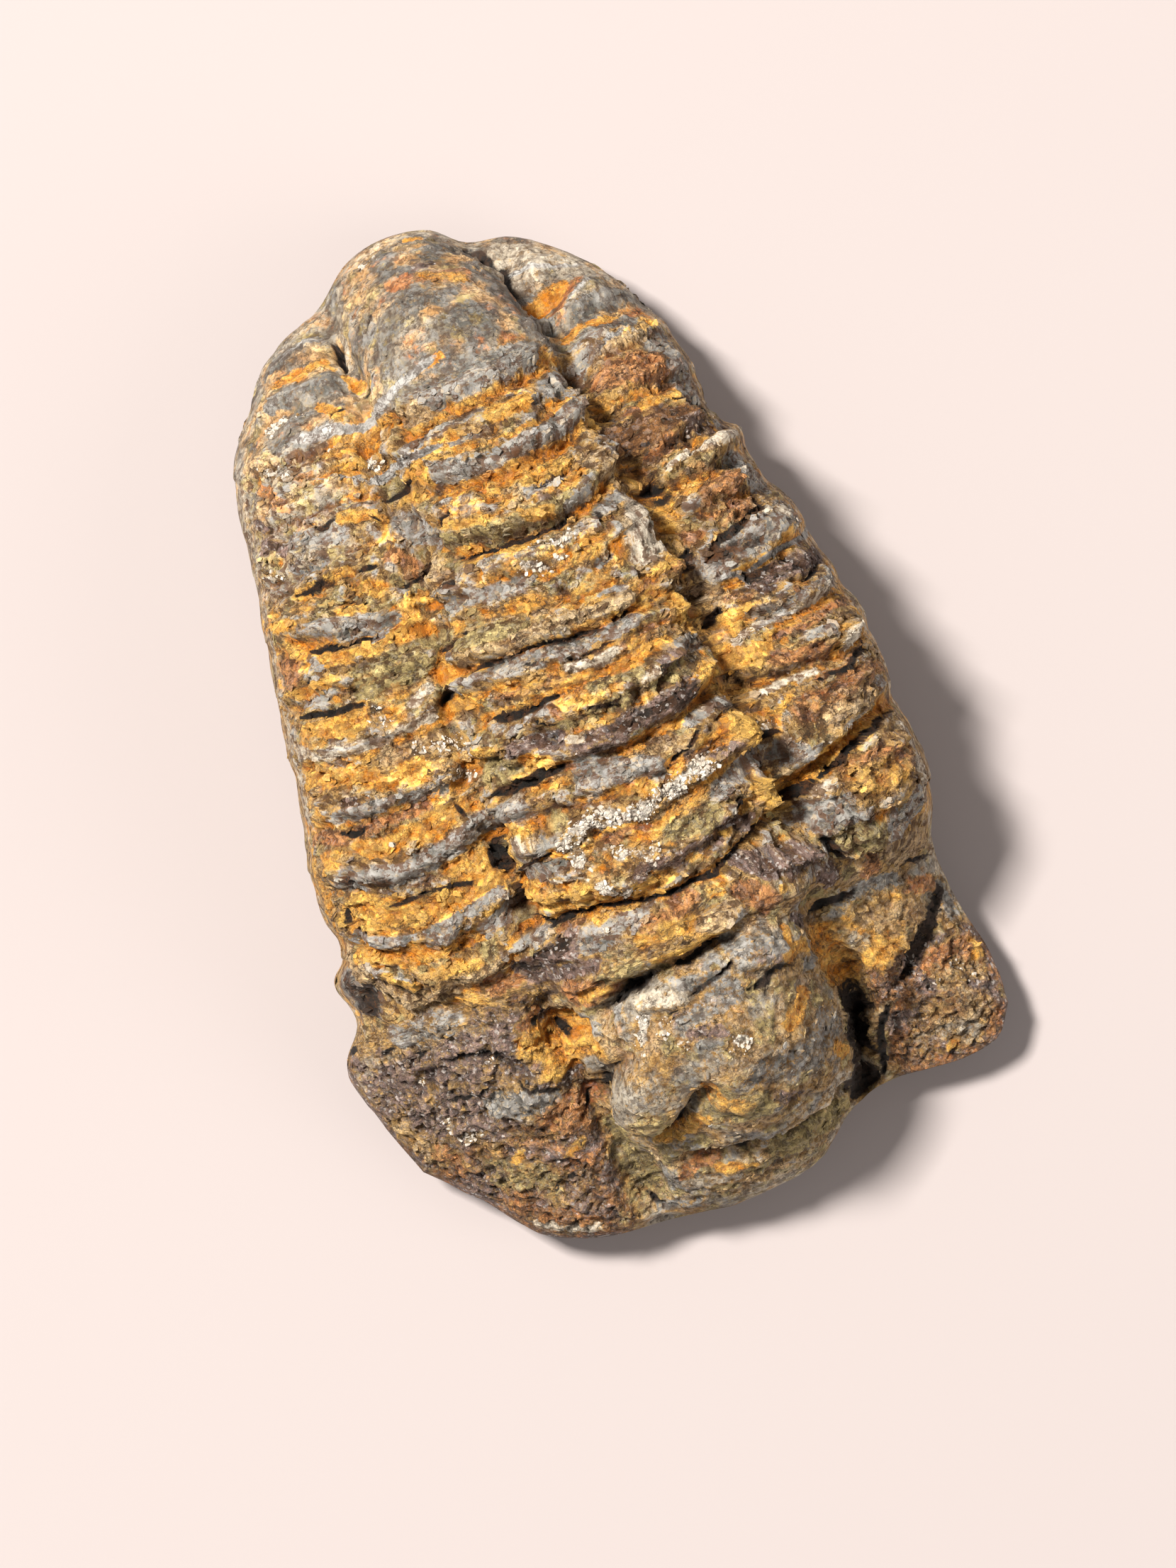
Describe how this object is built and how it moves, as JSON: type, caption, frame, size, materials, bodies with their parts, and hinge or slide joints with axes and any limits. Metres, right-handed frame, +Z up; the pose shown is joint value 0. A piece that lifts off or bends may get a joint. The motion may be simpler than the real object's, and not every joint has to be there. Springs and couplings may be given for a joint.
{
  "type": "trilobite fossil",
  "caption": "Domed stone trilobite fossil with a ringed axis, ribbed sides, tail shield and worn head, resting on its broken belly.",
  "frame": {"origin": "middle of the stone's box, on the surface it rests on", "axes": "+Y along the body from head to tail, +X across the body to the dropped cheek's side, +Z up from belly to back"},
  "size_m": [0.039, 0.0616, 0.0231],
  "materials": {
    "iron_stained_stone": "rough grey limestone with ochre iron stain in the furrows"
  },
  "bodies": {
    "root": {"trilobite_fossil": "iron_stained_stone"}
  },
  "joints": []
}
